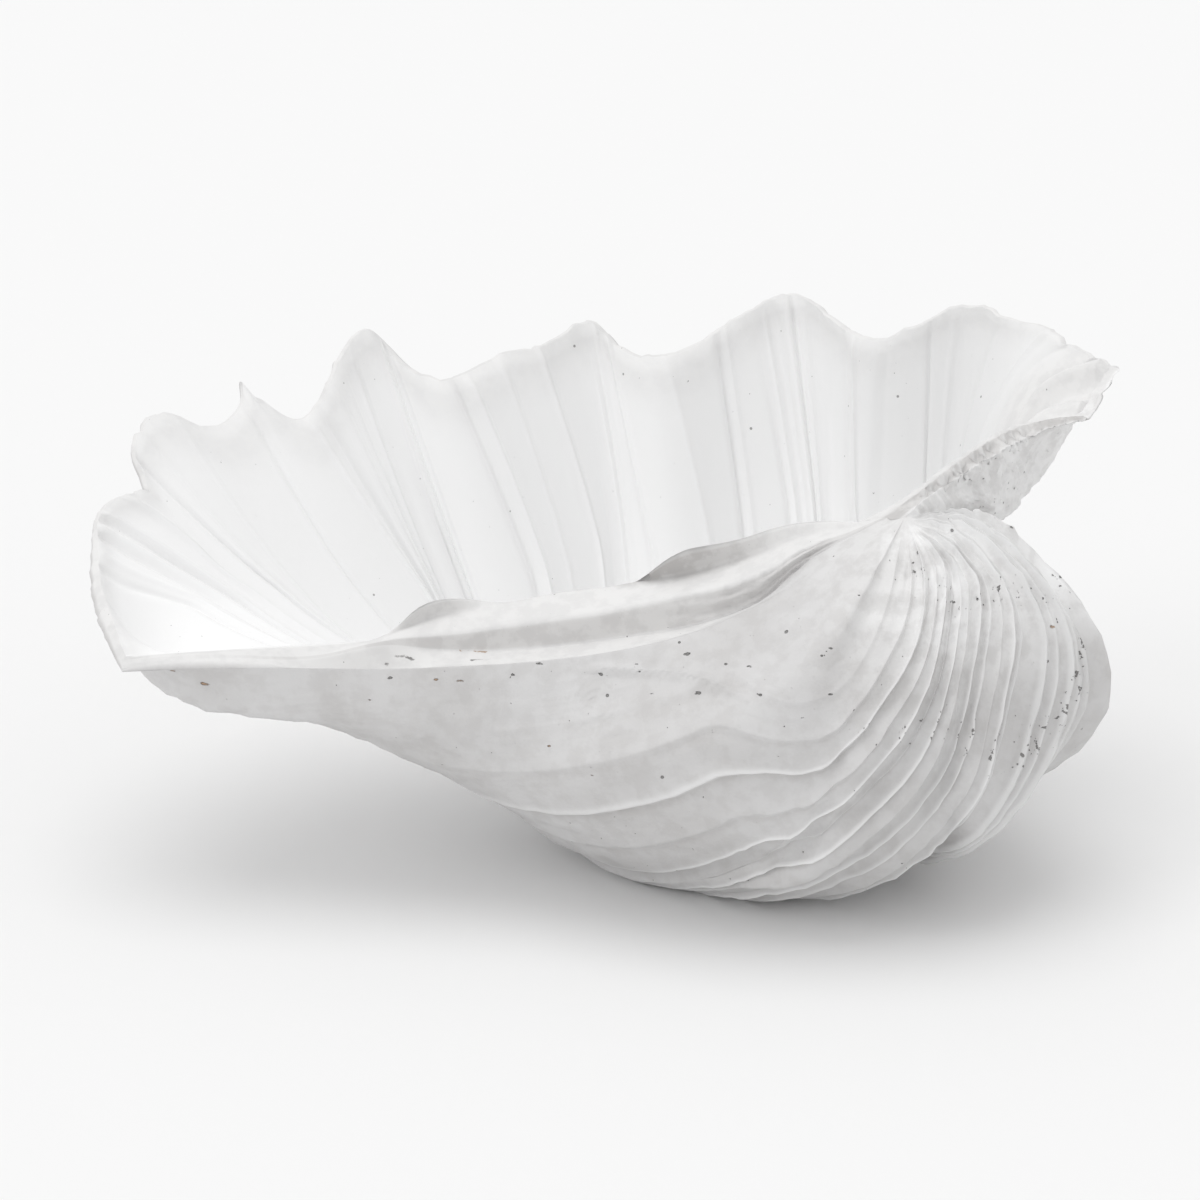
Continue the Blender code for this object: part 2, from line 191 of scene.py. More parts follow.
# How far the folds of the hollow lean towards the beak as they leave the margin, by place
hollowLean = ((0, 0), (0.05, 0.30), (0.073, 0.27), (0.098, 0.20), (0.11, 0.25), (0.136, 0.33),
              (0.172, 0.23), (0.19, 0.15), (0.268, 0.10), (0.307, 0.22), (0.327, 0.15), (0.358, 0.01),
              (0.371, -0.04), (0.385, 0.05), (0.447, 0.12), (0.477, 0.12), (0.505, 0.13), (0.53, 0.04),
              (0.562, 0.14), (0.60, 0.10), (0.636, 0.06), (0.668, 0.08), (0.688, 0.064), (0.718, -0.05),
              (0.745, -0.08), (0.761, -0.15), (0.779, -0.02), (0.80, -0.10), (0.896, -0.15),
              (0.96, -0.14), (1, 0))

# Flat facets of the hollow between crisp folds: place on the margin, height
hollowFacets = ((0, 0), (0.06, 0), (0.104, 0.9), (0.11, -0.9), (0.2, 0.5), (0.307, 4.2), (0.371, -3.6),
                (0.447, 3.0), (0.455, 4.2), (0.505, -1.2), (0.53, -4.2), (0.60, 3.6), (0.677, -3.0),
                (0.688, 0.3), (0.718, -3.6), (0.745, 1.2), (0.761, 3.6), (0.78, -0.6), (0.84, -1.8),
                (0.896, 2.0), (0.93, -1.4), (0.959, 1.8), (0.98, -0.6), (1, 0))

# Fine ridges and, below nought, grooves of the hollow: place, height, half width as a share of the margin
hollowRidges = ((0.073, -0.9, 0.003), (0.085, 0.5, 0.003), (0.098, -1.2, 0.0026), (0.104, 0.6, 0.0026),
                (0.110, -1.8, 0.0022), (0.116, 0.8, 0.0026), (0.136, 0.9, 0.003), (0.172, -0.8, 0.0022),
                (0.19, -0.5, 0.002), (0.215, 0.3, 0.002), (0.268, -0.6, 0.002), (0.318, 0.6, 0.002),
                (0.327, -1.0, 0.002), (0.342, 0.5, 0.002), (0.355, -0.9, 0.0022), (0.363, 0.7, 0.002),
                (0.385, -1.3, 0.0024), (0.397, 0.6, 0.002), (0.41, 0.4, 0.0018), (0.447, -1.1, 0.0022),
                (0.455, 0.9, 0.002), (0.477, 0.7, 0.002), (0.505, 1.3, 0.0022), (0.54, 0.6, 0.0018),
                (0.546, 0.5, 0.0016), (0.562, 0.8, 0.002), (0.60, 0.6, 0.002), (0.636, -1.3, 0.0022),
                (0.643, 0.5, 0.002), (0.668, -0.9, 0.002), (0.673, 0.6, 0.0018), (0.682, 0.5, 0.0016),
                (0.692, -0.8, 0.0018), (0.703, 0.4, 0.0018), (0.737, -0.5, 0.002), (0.745, 0.9, 0.002),
                (0.767, -0.7, 0.002), (0.793, -0.7, 0.002), (0.812, 0.4, 0.002), (0.845, -0.4, 0.002),
                (0.896, 0.5, 0.002), (0.915, -0.4, 0.002), (0.94, -0.8, 0.003), (0.958, 2.4, 0.006),
                (0.972, -1.2, 0.004), (0.987, 2.0, 0.006))

# Nicks and points of the worn edge: place, height, half width as a share of the margin
rimNicks = ((0.04, -1.5, 0.003), (0.154, -5.0, 0.0035), (0.19, -2.5, 0.002), (0.232, -1.5, 0.003),
            (0.276, 7.5, 0.0032), (0.283, -2.0, 0.003), (0.35, 1.2, 0.002), (0.372, -1.4, 0.002),
            (0.434, 1.6, 0.0025), (0.50, -1.2, 0.002), (0.53, 1.4, 0.003), (0.567, -1.6, 0.0025),
            (0.648, 1.0, 0.002), (0.72, -1.2, 0.003), (0.775, 1.6, 0.0025), (0.876, 1.5, 0.002),
            (0.912, -3.0, 0.003), (0.938, -2.5, 0.0025), (0.956, 4.5, 0.0025), (0.972, -2.5, 0.003))


def spline(places, values, at):
    # natural cubic curve through values at the given places
    places = np.asarray(places, float)
    values = np.asarray(values, float)
    at = np.asarray(at, float)
    gaps = np.diff(places)
    count = len(places)
    system = np.zeros((count, count))
    pull = np.zeros(values.shape)
    system[0, 0] = system[-1, -1] = 1.0
    for i in range(1, count - 1):
        system[i, i - 1:i + 2] = gaps[i - 1], 2 * (gaps[i - 1] + gaps[i]), gaps[i]
        pull[i] = 6 * ((values[i + 1] - values[i]) / gaps[i] - (values[i] - values[i - 1]) / gaps[i - 1])
    bend = np.linalg.solve(system, pull.reshape(count, -1)).reshape(pull.shape)
    cell = np.clip(np.searchsorted(places, at) - 1, 0, count - 2)
    spread = (...,) + (None,) * (values.ndim - 1)
    left = ((places[cell + 1] - at) / gaps[cell])[spread]
    right = ((at - places[cell]) / gaps[cell])[spread]
    width = gaps[cell][spread]
    curve = (left ** 3 - left) * bend[cell] + (right ** 3 - right) * bend[cell + 1]
    return left * values[cell] + right * values[cell + 1] + curve * width ** 2 / 6


def smoothStep(low, high, value):
    ramp = np.clip((value - low) / (high - low), 0.0, 1.0)
    return ramp * ramp * (3 - 2 * ramp)


def bump(value, centre, width):
    return np.exp(-((value - centre) / width) ** 2)


def grain(points, size, seed, octaves=3):
    # soft lumps of the given size in millimetres, between about -1 and 1
    flat = points.reshape(-1, 3) / size + seed
    made = [noise.fractal(Vector(p), 1.0, 2.0, octaves) for p in flat]
    return np.array(made).reshape(points.shape[:-1])


def inLine(lengths):
    # points along a straight line, for grain that depends on one length only
    return np.stack([lengths, 0 * lengths, 0 * lengths], axis=1)


def byPlace(table, ends):
    # straight lines through a table of places and values
    return np.interp(ends, *np.transpose(table))


marginPoints = np.array(list(margin.values()), float)
marginGaps = np.linalg.norm(np.diff(marginPoints, axis=0), axis=1)
marginPlaces = np.concatenate([[0.0], np.cumsum(marginGaps)]) / marginGaps.sum()
placeOf = dict(zip(margin, marginPlaces))
curvePlaces = np.array([placeOf[name] for name in growthCurves])
curvePoints = np.array([[beak, *points, margin[name]] for name, points in growthCurves.items()], float)
ribletPlaces = np.array([place for place, height in riblets])


def ribWave(ends):
    # 1 on the ribs and -1 in the grooves between them
    crests = ("lobe 1", "lobe 2", "lobe 3", "lobe 4", "lobe 5", "lobe 6 rise", "lobe 6 fall", "tip")
    grooves = ("dip 1", "dip 2", "dip 3", "dip 4", "dip 5", "lobe 6", "dip 6")
    marks = [(placeOf[name], 1.0) for name in crests] + [(placeOf[name], -1.0) for name in grooves]
    return np.sin(byPlace(sorted(marks + [(0.0, -0.4), (1.0, -0.4)]), ends) * np.pi / 2)


def ribPlaces(ends, growth):
    # places round the wall that each rib passes, swinging to the near end of the body at the beak
    gather = shell["ribGather"]
    gathered = gather * (1 - np.exp(-ends / shell["ribGatherPace"])) + (1 - gather) * ends
    swingEnd = shell["firstSwingEnd"] + shell["laterSwingEnd"] * ends
    swing = 1 - smoothStep(shell["swingStart"], swingEnd[:, None], growth[None, :])
    return ends[:, None] + (gathered - ends)[:, None] * swing


def hollowPlaces(ends, growth):
    # the folds of the hollow lean towards the beak
    lean = byPlace(hollowLean, ends)
    return ends[:, None] + lean[:, None] * np.minimum(1 - growth, 0.15)[None, :]


def smoothWall(around, growth):
    columns = spline(growthPlaces, curvePoints.transpose(1, 0, 2), growth)
    wall = [spline(curvePlaces, column, at) for column, at in zip(columns, around.T)]
    scallop = spline(marginPlaces, marginPoints, around) - spline(curvePlaces, curvePoints[:, -1], around)
    return np.stack(wall, axis=1) + scallop * growth[None, :, None] ** shell["foldGrowth"]


def outwardOf(around, growth):
    step = 1e-4
    growth = np.maximum(growth, 0.02)
    along = smoothWall(around + step, growth) - smoothWall(around - step, growth)
    up = smoothWall(around, growth + step) - smoothWall(around, growth - step)
    outward = np.cross(up, along)
    return outward / np.maximum(np.linalg.norm(outward, axis=2, keepdims=True), 1e-9)


def nearPath(points, path):
    # distance in millimetres from each point to a path of points
    nearest = np.full(points.shape[:-1], 1e9)
    for low, high in zip(path, path[1:]):
        along = high - low
        share = np.clip((points - low) @ along / (along @ along), 0.0, 1.0)
        nearest = np.minimum(nearest, np.linalg.norm(points - low - share[..., None] * along, axis=-1))
    return nearest


def ribletGaps(ends):
    # how far apart the riblets are, by place
    gaps = np.interp(ends, (ribletPlaces[1:] + ribletPlaces[:-1]) / 2, np.diff(ribletPlaces))
    return np.maximum(gaps, 0.03)


def ribletRise(ends):
    # 1 on the crest of the tallest riblets, steeper on their right side
    rise = np.zeros(len(ends))
    for place, height in riblets:
        away = (ends - place) / ribletGaps(ends)
        rise = np.maximum(rise, height * np.exp(-np.abs(away / np.where(away < 0, 0.20, 0.09)) ** 1.4))
        rise = rise - 0.35 * height * bump(away, 0.26, 0.10)
    return rise


def grooveShade(ends, growth):
    # 1 at the foot of each riblet on its right, the side away from the light, for painted shade
    gaps = ribletGaps(ends)
    shade = sum(min(height, 1.0) * bump((ends - place) / gaps, 0.17, 0.10) for place, height in riblets)
    return shade[:, None] * (smoothStep(0.03, 0.12, growth) * smoothStep(0.72, 0.4, growth))[None, :]


def pitted(ends, growth):
    # 1 where the casting is crumbled, along two rows across the riblets
    crest = np.clip(ribletRise(ends), 0.0, 1.0)[:, None]
    level = growth[None, :]
    low = bump(level, byPlace(stepLine, ends)[:, None], 0.013) * np.minimum(1.6 * crest, 1.0)
    high = bump(level, byPlace(pitLine, ends)[:, None], 0.012) * 0.6
    rows = np.maximum(low, high) * (smoothStep(0.02, 0.08, ends) * smoothStep(0.9, 0.75, ends))[:, None]
    wing = smoothStep(0.2, 0.3, level) * smoothStep(0.75, 0.5, level)
    return np.maximum(rows, 0.4 * smoothStep(0.88, 0.94, ends)[:, None] * wing)


def outsideRelief(ends, around, growth, wall):
    # height in millimetres over the smooth wall
    level = growth[None, :]
    ribs = shell["ribHeight"] + shell["farRibHeight"] * smoothStep(0.08, 0.34, ends)
    ribs = (ribs * ribWave(ends))[:, None] * smoothStep(0.04, 0.30, level) * smoothStep(1.0, 0.8, level)
    fade = smoothStep(0.012, 0.07, level) * smoothStep(0.80, 0.32, level)
    fineRise = shell["ribletHeight"] * (ribletRise(ends) - 0.25)[:, None] * fade
    past = level - byPlace(stepLine, ends)[:, None]
    step = shell["stepHeight"] * smoothStep(-0.006, 0.004, past) * smoothStep(0.07, 0.012, past)
    step = step * smoothStep(0.08, 0.2, ends)[:, None]
    sides = smoothStep(0.0, 0.06, around) * smoothStep(1.0, 0.96, around)
    growthLines = 1.1 * grain(inLine(growth * 900), 16.0, 3.1)[None, :]
    lumps = grain(wall, 34.0, 11.0) * 0.9 + grain(wall, 9.0, 5.0) * 0.7
    uneven = (growthLines + lumps) * smoothStep(0.0, 0.03, around) * smoothStep(0, 0.05, level)
    crumbs = grain(wall, 4.0, 7.0, 2) * shell["crumbHeight"] * pitted(ends, growth)
    return (ribs + fineRise + step) * sides + uneven + crumbs


def outside(ends, growth):
    around = ribPlaces(ends, growth)
    wall = smoothWall(around, growth)
    relief = outsideRelief(ends, around, growth, wall)
    scarPath = [smoothWall(ribPlaces(*spot), spot[1])[0, 0] for spot in np.array(scar)[:, :, None]]
    relief = relief + shell["scarHeight"] * bump(nearPath(wall, scarPath), 0.0, shell["scarHalfWidth"])
    return wall + outwardOf(around, growth) * relief[:, :, None]


def lineAt(points, growth, places=growthPlaces):
    return spline(places, points, growth)


def hollowWall(around, growth, rise):
    # the wall's inner side: moved in by its thickness, less the rise, and drawn up to the hinge
    level = growth[None, :]
    deepening = shell["bodyThickness"] - shell["marginThickness"]
    stock = shell["marginThickness"] + deepening * smoothStep(1, 0.7, level)
    stock = stock + shell["hingeThickness"] * smoothStep(0.6, 0.15, level)
    extra = shell["hingeThickness"] * bump(around, 0.0, 0.16) * smoothStep(0.9, 0.6, level)
    rise = rise[:, None] * smoothStep(0.35, 0.6, level) * smoothStep(1.0, 0.99, level)
    depth = np.maximum(stock + extra + rise, shell["leastThickness"])
    wall = smoothWall(around, growth) - outwardOf(around, growth) * depth[:, :, None]
    hollowTop = np.array(hollowEdge[0], float)
    reach = np.sin(np.clip(growth / shell["hollowStart"], 0.0, 1.0) * np.pi / 2)
    return hollowTop + (wall - hollowTop) * reach[None, :, None]


def inside(ends, growth):
    rise = byPlace(hollowFacets, ends)
    for place, height, halfWidth in hollowRidges:
        rise = rise + shell["foldHeight"] * height * bump(ends, place, halfWidth)
    around = hollowPlaces(ends, growth)
    hingeSide, gapeSide = np.zeros((1, len(growth))), np.ones((1, len(growth)))
    # near both plates the wall bends to meet their lowest lines
    hingeGap = lineAt(hollowEdge, growth) - hollowWall(hingeSide, growth, rise[:1])[0]
    gapeGap = lineAt(gapeLines[-1], growth) - hollowWall(gapeSide, growth, rise[:1])[0]
    atHinge = bump(around, 0.0, 0.07) - bump(1.0, 0.0, 0.07)
    atGape = bump(around, 1.0, 0.05)
    wall = hollowWall(around, growth, rise)
    return wall + atHinge[:, :, None] * hingeGap[None] + atGape[:, :, None] * gapeGap[None]


def placeGrid(bm, points, marks):
    # a flat grid carried onto the table of points, each vertex keeping its marks for the material
    wide, high = points.shape[0] - 1, points.shape[1] - 1
    made = bmesh.ops.create_grid(bm, x_segments=wide, y_segments=high, size=0.5)
    table = (points + np.array(shell["centring"])) * 0.001
    layers = [(bm.verts.layers.float[name], values) for name, values in marks.items()]
    for vert in made["verts"]:
        spot = round((vert.co.x + 0.5) * wide), round((vert.co.y + 0.5) * high)
        vert.co = table[spot]
        for layer, values in layers:
            vert[layer] = values[spot]


def columnPlaces():
    # closer together on the riblets and ridges, and where a few ribs spread over the front of the body
    even = np.linspace(0.0, 1.0, 8001)
    crowd = 1 + 5.5 * bump(even, 0.0, 0.06) + 2.2 * sum(bump(even, place, 0.008) for place in ribletPlaces)
    crowd = crowd + 2.2 * sum(bump(even, place, 1.8 * width) for place, height, width in hollowRidges)
    pace = np.cumsum(crowd)
    pace = (pace - pace[0]) / (pace[-1] - pace[0])
    return np.interp(np.linspace(0.0, 1.0, shell["columns"] + 1), pace, even)


# Rows of the two plates between their lines, as shares; both plates have 24 in all, for the lip to meet
gapeShares = ((0.0, 0.15, 0.5, 0.85),) * 6
hingeShares = ((0.0, 0.3, 0.75), (0.0, 0.15, 0.5, 0.85), (0.0, 0.1, 0.22, 0.36, 0.5, 0.64, 0.78, 0.9),
               (0.0, 0.25, 0.7), (0.0, 0.25, 0.75), (0.0, 0.3, 0.75))


def rowsBetween(lines, shares):
    rows = []
    for low, high, gapShares in zip(lines, lines[1:], shares):
        rows += [low + (high - low) * share for share in gapShares]
    return np.stack(rows + [lines[-1]], axis=1)


def acrossOf(shares):
    # how far across its plate each row lies, 0 to 1
    return np.array([(gap + share) / len(shares) for gap, row in enumerate(shares) for share in row] + [1.0])


def rimJag(ends):
    # how far the worn edge stands over the smooth one, in millimetres
    line = inLine(ends * 1000)
    jag = 1.3 * grain(line, 14.0, 21.0) + 0.6 * grain(line, 4.0, 9.0, 2)
    for place, height, halfWidth in rimNicks:
        jag = jag + height * bump(ends, place, halfWidth)
    return jag * smoothStep(0.0, 0.02, ends) * smoothStep(1.0, 0.985, ends)


def tongues(growth):
    # overlapping scales along the toothed edge, 0 to 1
    phase = np.clip((growth - 0.05) / 0.056 + 0.3 * np.sin(growth * 41), 0, 14)
    return (1 - phase % 1) ** 1.3 * smoothStep(0.04, 0.10, growth) * smoothStep(0.80, 0.66, growth)


def stirred(plate, along, across, size, seed, way):
    # a plate with its vertices moved by grain, as strongly as along and across say
    return plate + (grain(plate, size, seed) * along[:, None] * across[None, :])[:, :, None] * np.array(way)


def hingePlate(outer, inner, growth):
    # from the body's front edge over ledge, tooth and back wall into the hollow
    lines = [outer[0]] + [lineAt(points, growth, hingePlaces) for points in hingeLines.values()] + [inner[0]]
    plate = rowsBetween(lines, hingeShares)
    across = acrossOf(hingeShares)
    onTooth = shell["hingeCrumble"] * smoothStep(0.14, 0.24, across) * smoothStep(0.62, 0.52, across)
    nearBeak = smoothStep(0.05, 0.11, growth) * smoothStep(0.36, 0.22, growth)
    plate = stirred(plate, nearBeak, onTooth, 5.0, 8.0, (0.2, -0.6, 0.7))
    # wavy ridges along the front of the tooth, near the beak
    up = np.clip(across * len(hingeShares) - 2, 0.0, 1.0)[None, :]
    ridges = np.sin(2 * np.pi * (2 * up + 0.16 * np.sin(growth * 31)[:, None])) * np.sin(np.pi * up)
    ridges = ridges * (smoothStep(0.06, 0.12, growth) * smoothStep(0.38, 0.30, growth))[:, None]
    plate = plate + shell["toothRidgeHeight"] * ridges[:, :, None] * np.array((0.0, -0.8, 0.5))
    overall = 0.5 * smoothStep(0.0, 0.1, across) * smoothStep(1.0, 0.9, across)
    return stirred(plate, smoothStep(1.0, 0.95, growth), overall, 14.0, 2.0, (0.0, -0.5, 0.8))


def gapePlate(outer, inner, growth, across):
    # from the body's near edge over the scales into the hollow
    lines = [outer[-1]] + [lineAt(points, growth) for points in gapeLines[:-1]] + [inner[-1]]
    hang = ((2.4, -4.8, -5.2), (3.0, -6.0, -6.5), (1.0, -2.5, 2.5), (0.5, -0.5, 2.0))
    for line, way in enumerate(hang, 1):
        lines[line] = lines[line] + tongues(growth)[:, None] * np.array(way)
    plate = rowsBetween(lines, gapeShares)
    onScales = shell["gapeCrumble"] * smoothStep(0.04, 0.12, across) * smoothStep(0.62, 0.42, across)
    return stirred(plate, smoothStep(0.02, 0.08, growth) * smoothStep(1.0, 0.9, growth), onScales,
                   6.0, 4.0, (0.4, -0.7, 0.6))


# How much painted shade, partly grime, darkens the front of the back wall, by growth: the lump, then the
# flap
backShade = ((0, 0), (0.16, 0), (0.24, 0.6), (0.37, 0.85), (0.40, 0.5), (0.42, 0), (0.59, 0), (0.63, 0.25),
             (0.70, 0.3), (0.72, 0), (1, 0))


def wallMarks(ends, growth, lipAcross):
    # the outside up to the margin, then over the lip and down the hollow, which have no painted shade
    lipMark = smoothStep(0.1, 0.5, lipAcross)
    clean = np.zeros((len(ends), len(lipMark) + len(growth)))
    # painted highlight: the riblets' crests are whitened towards the hollow's white
    crest = 0.7 * smoothStep(0.45, 1.0, ribletRise(ends)) * smoothStep(0.80, 0.68, ends)
    crest = crest[:, None] * (smoothStep(0.03, 0.12, growth) * smoothStep(0.75, 0.4, growth))[None, :]
    white = np.broadcast_to(np.concatenate([lipMark, 0 * growth + 1]), clean.shape)
    edge = np.concatenate([0 * growth, 0 * lipMark + 1, 0.6 * smoothStep(0.955, 1.0, growth[::-1])])
    corner = smoothStep(0.90, 0.94, ends)
    return {"hollow": np.concatenate([crest, white], axis=1),
            "hinge": np.maximum(edge[None, :], corner[:, None]),
            "shadeAndDirt": np.concatenate([0.5 * grooveShade(ends, growth), clean], axis=1),
            "pitted": np.concatenate([pitted(ends, growth), clean], axis=1)}


def plateMarks(across, whiteFrom, shadeAndDirt):
    # a plate is grey where it leaves the body and white from whiteFrom on
    white = smoothStep(whiteFrom / 3, whiteFrom, across)
    return {"hollow": np.broadcast_to(white, shadeAndDirt.shape), "shadeAndDirt": shadeAndDirt, "pitted": 0 * shadeAndDirt,
            "hinge": np.broadcast_to(smoothStep(1.0, 0.9, across), shadeAndDirt.shape)}


def hingeMarks(growth, across):
    # painted shade, partly grime, on the fronts of the lump and the flap, and a little on the tooth's front;
    # the ledge is grey near the beak
    backFront = smoothStep(0.63, 0.68, across) * smoothStep(0.85, 0.80, across)
    toothFront = 0.4 * smoothStep(0.33, 0.36, across) * smoothStep(0.5, 0.47, across)
    shadeAndDirt = np.maximum(backFront[None, :] * byPlace(backShade, growth)[:, None],
                      toothFront[None, :] * smoothStep(0.95, 0.7, growth)[:, None])
    marks = plateMarks(across, 0.16, shadeAndDirt)
    ledgeWhite = smoothStep(0.14, 0.30, growth)[:, None]
    marks["hollow"] = marks["hollow"] * np.where(across[None, :] < 0.4, ledgeWhite, 1.0)
    return marks


def gapeMarks(growth, across):
    # painted shade between the scales, where each tucks under the next
    between = 0.65 * (1 - tongues(growth))[:, None]
    shadeAndDirt = between * (smoothStep(0.0, 0.1, across) * smoothStep(0.62, 0.45, across))[None, :]
    return plateMarks(across, 0.33, shadeAndDirt)


def addToScene(name, data):
    made = bpy.data.objects.new(name, data)
    bpy.context.scene.collection.objects.link(made)
    return made


def buildShell():
    ends = columnPlaces()
    growth = np.linspace(0.0, 1.0, shell["rows"] + 1) ** shell["rowPace"]
    outer = outside(ends, growth)
    inner = inside(ends, growth)
    outer[:, :, 2] = np.maximum(outer[:, :, 2], 0.0)    # worn flat where it rests
    print("walls:", outer.shape, inner.shape)

    rise = outer[:, -1] - outer[:, -2]
    rise = rise / np.linalg.norm(rise, axis=1, keepdims=True)
    worn = rise[:, None] * rimJag(ends)[:, None, None] * smoothStep(0.93, 1.0, growth)[None, :, None]
    outer, inner = outer + worn, inner + worn

    even = np.linspace(0.0, 1.0, sum(len(row) for row in gapeShares) + 1)
    lip = outer[:, -1, None] + (inner[:, -1] - outer[:, -1])[:, None] * even[None, :, None]
    lip = lip + rise[:, None] * (np.sin(np.pi * even) * shell["marginThickness"] * 0.22)[None, :, None]
    hinge = hingePlate(outer, inner, growth)
    gape = gapePlate(outer, inner, growth, even)
    hinge[-1], gape[-1] = lip[0], lip[-1]

    bm = bmesh.new()
    for name in ("hollow", "hinge", "shadeAndDirt", "pitted"):
        bm.verts.layers.float.new(name)
    wall = np.concatenate([outer, lip[:, 1:-1], inner[:, ::-1]], axis=1)
    placeGrid(bm, wall, wallMarks(ends, growth, even[1:-1]))
    placeGrid(bm, hinge, hingeMarks(growth, acrossOf(hingeShares)))
    placeGrid(bm, gape, gapeMarks(growth, even))
    bmesh.ops.remove_doubles(bm, verts=bm.verts, dist=0.000002)
    bmesh.ops.recalc_face_normals(bm, faces=bm.faces)
    mesh = bpy.data.meshes.new("shell")
    bm.to_mesh(mesh)
    bm.free()
    mesh.shade_smooth()
    piece = addToScene("shell", mesh)
    print("shell:", len(mesh.polygons), "faces")
    return piece


plaster = {
    "hollowColour": (0.93, 0.93, 0.93, 1),
    "hollowShade": (0.85, 0.85, 0.85, 1),     # painted shade of the hollow's steep side, towards the beak end
    "hingeColour": (0.79, 0.785, 0.78, 1),
    # partly the outside's own greyer tone, partly painted shade on surfaces facing down
    "outsideToneAndShade": (0.66, 0.655, 0.655, 1),
    # partly a whiter tone near the beak, partly painted light on the upper right
    "beakToneAndLight": (0.93, 0.93, 0.93, 1),
    "stainAndShade": (0.47, 0.455, 0.445, 1),       # mottling of the outside, and the colour of painted shade in grooves, between scales and on the hinge's fronts
    "pit": (0.12, 0.115, 0.11, 1),
    "chip": (0.36, 0.20, 0.09, 1),          # brown body under the white
    "roughness": 0.62,
    "grainHeight": 0.35,                    # heights and depths here are in millimetres
    "pitDepth": 1.6,
    "rippleHeight": 0.07,
    "rippleReach": (0.026, 0.016),          # metres from its middle, where it starts and is full
    "ripplePace": 1500.0,                   # radians to a metre
    "bubbles": ((45.0, 0.07, 0.955), (110.0, 0.11, 0.96)),    # scale, radius, share without one
}


class Tree:
    # adds and joins the nodes of one material
    def __init__(self, tree):
        self.tree = tree

    def node(self, kind, sockets=(), **settings):
        made = self.tree.nodes.new(kind)
        for name, value in settings.items():
            setattr(made, name, value)
        for name, value in dict(sockets).items():
            self.feed(value, made.inputs[name])
        return made

    def add(self, kind, sockets=(), **settings):
        return self.node(kind, sockets, **settings).outputs[0]

    def feed(self, value, socket):
        if isinstance(value, bpy.types.NodeSocket):
            self.tree.links.new(value, socket)
        else:
            socket.default_value = value

    def math(self, operation, *values):
        return self.add("ShaderNodeMath", enumerate(values), operation=operation)

    def times(self, first, second):
        return self.math("MULTIPLY", first, second)

    def plus(self, first, second):
        return self.math("ADD", first, second)

    def band(self, value, low, high):
        # 0 at low and 1 at high
        return self.add("ShaderNodeMapRange", enumerate((value, low, high)), interpolation_type="SMOOTHSTEP")

    def blend(self, share, low, high):
        return self.node("ShaderNodeMix", {0: share, 6: low, 7: high}, data_type="RGBA").outputs[2]

    def mark(self, name):
        return self.node("ShaderNodeAttribute", attribute_name=name).outputs["Fac"]

    def awayFrom(self, place, spot, stretch):
        # distance from a spot given in millimetres
        centre = (spot + np.array(shell["centring"])) * 0.001
        scaled = self.add("ShaderNodeVectorMath", {0: place, 1: stretch}, operation="MULTIPLY")
        ends = {0: scaled, 1: centre * np.array(stretch)}
        return self.node("ShaderNodeVectorMath", ends, operation="DISTANCE").outputs["Value"]

    def lumps(self, place, scale, detail=3.0, roughness=0.55):
        sockets = {"Vector": place, "Scale": scale, "Detail": detail, "Roughness": roughness}
        return self.add("ShaderNodeTexNoise", sockets)


def outsideSpot(end, level):
    return outside(np.array([end]), np.array([level]))[0, 0]


def ledgeSpot(level, share):
    growth = np.array([level])
    low, high = (lineAt(hingeLines[name], growth, hingePlaces)[0] for name in ("ledge", "tooth foot"))
    return low + (high - low) * share


def plasterColour(tree, place, hollow):
    cloud = tree.band(tree.lumps(place, 16.0), 0.35, 0.65)
    fleck = tree.band(tree.lumps(place, 90.0, 4.0, 0.6), 0.42, 0.62)
    worn = tree.times(tree.plus(tree.times(cloud, 0.35), tree.times(fleck, 0.25)), 0.8)
    parted = tree.node("ShaderNodeSeparateXYZ", {0: place})
    across, upward = parted.outputs["X"], parted.outputs["Z"]
    # whiter on the upper right of the outside: partly its own whiter tone, partly painted light standing in
    # for light from the right
    nearBeak = tree.times(tree.band(across, 0.08, 0.17), tree.band(upward, 0.12, 0.18))
    skin = tree.blend(nearBeak, plaster["outsideToneAndShade"], plaster["beakToneAndLight"])
    skin = tree.blend(worn, skin, plaster["stainAndShade"])
    hinge = tree.blend(tree.times(fleck, 0.4), plaster["hingeColour"], plaster["outsideToneAndShade"])
    # painted shade on the steep side of the hollow towards the beak end
    bowl = tree.blend(tree.band(across, 0.08, 0.20), plaster["hollowColour"], plaster["hollowShade"])
    colour = tree.blend(hollow, skin, tree.blend(tree.mark("hinge"), bowl, hinge))
    # painted shade in the grooves, between the scales and on the hinge's fronts, partly grime there, mottled
    # by fleck
    shadeAndGrime = tree.times(tree.mark("shadeAndDirt"), tree.band(fleck, -1.6, 0.9))
    return tree.blend(shadeAndGrime, colour, plaster["stainAndShade"])


def flawMask(tree, place, ragged, flaws, streaks):
    # 1 inside the small flaws and streaks
    shown = 0.0
    for level, share, halfLength in streaks:
        away = tree.awayFrom(place, ledgeSpot(level, share), (0.6 / halfLength, 1, 0.6))
        shown = tree.math("MAXIMUM", shown, tree.band(tree.plus(away, ragged), 0.0009, 0.0002))
    for end, level, radius in flaws:
        away = tree.awayFrom(place, outsideSpot(end, level), (0.6, 1, 1.5))
        inFlaw = tree.band(tree.plus(away, ragged), radius * 0.00045, radius * 0.0001)
        shown = tree.math("MAXIMUM", shown, inFlaw)
    return shown


